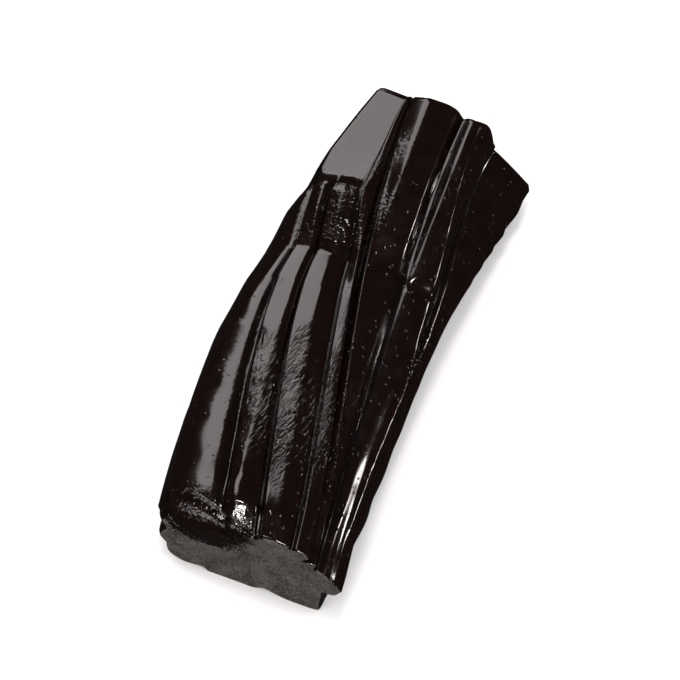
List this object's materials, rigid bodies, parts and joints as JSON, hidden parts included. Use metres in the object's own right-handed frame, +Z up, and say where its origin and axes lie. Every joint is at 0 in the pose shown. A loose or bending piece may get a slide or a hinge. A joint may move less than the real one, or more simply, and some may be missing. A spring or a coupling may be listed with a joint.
{
  "type": "black licorice piece",
  "caption": "Short cut length of soft black licorice, a flattened bar with lengthwise flutes, slightly twisted and bent, with two plain cut ends; a sweet that lies loose.",
  "frame": {"origin": "middle of the footprint, on the surface that the piece lies on", "axes": "+Y along the piece from the near cut end to the far cut end, +Z up out of the surface, +X to the right of the near end"},
  "size_m": [0.0196, 0.046, 0.0105],
  "materials": {
    "black_licorice": "soft black licorice, glossy oiled skin with a red-brown tint where thin, satin on the cut ends"
  },
  "bodies": {
    "root": {"licorice_piece": "black_licorice"}
  },
  "joints": []
}
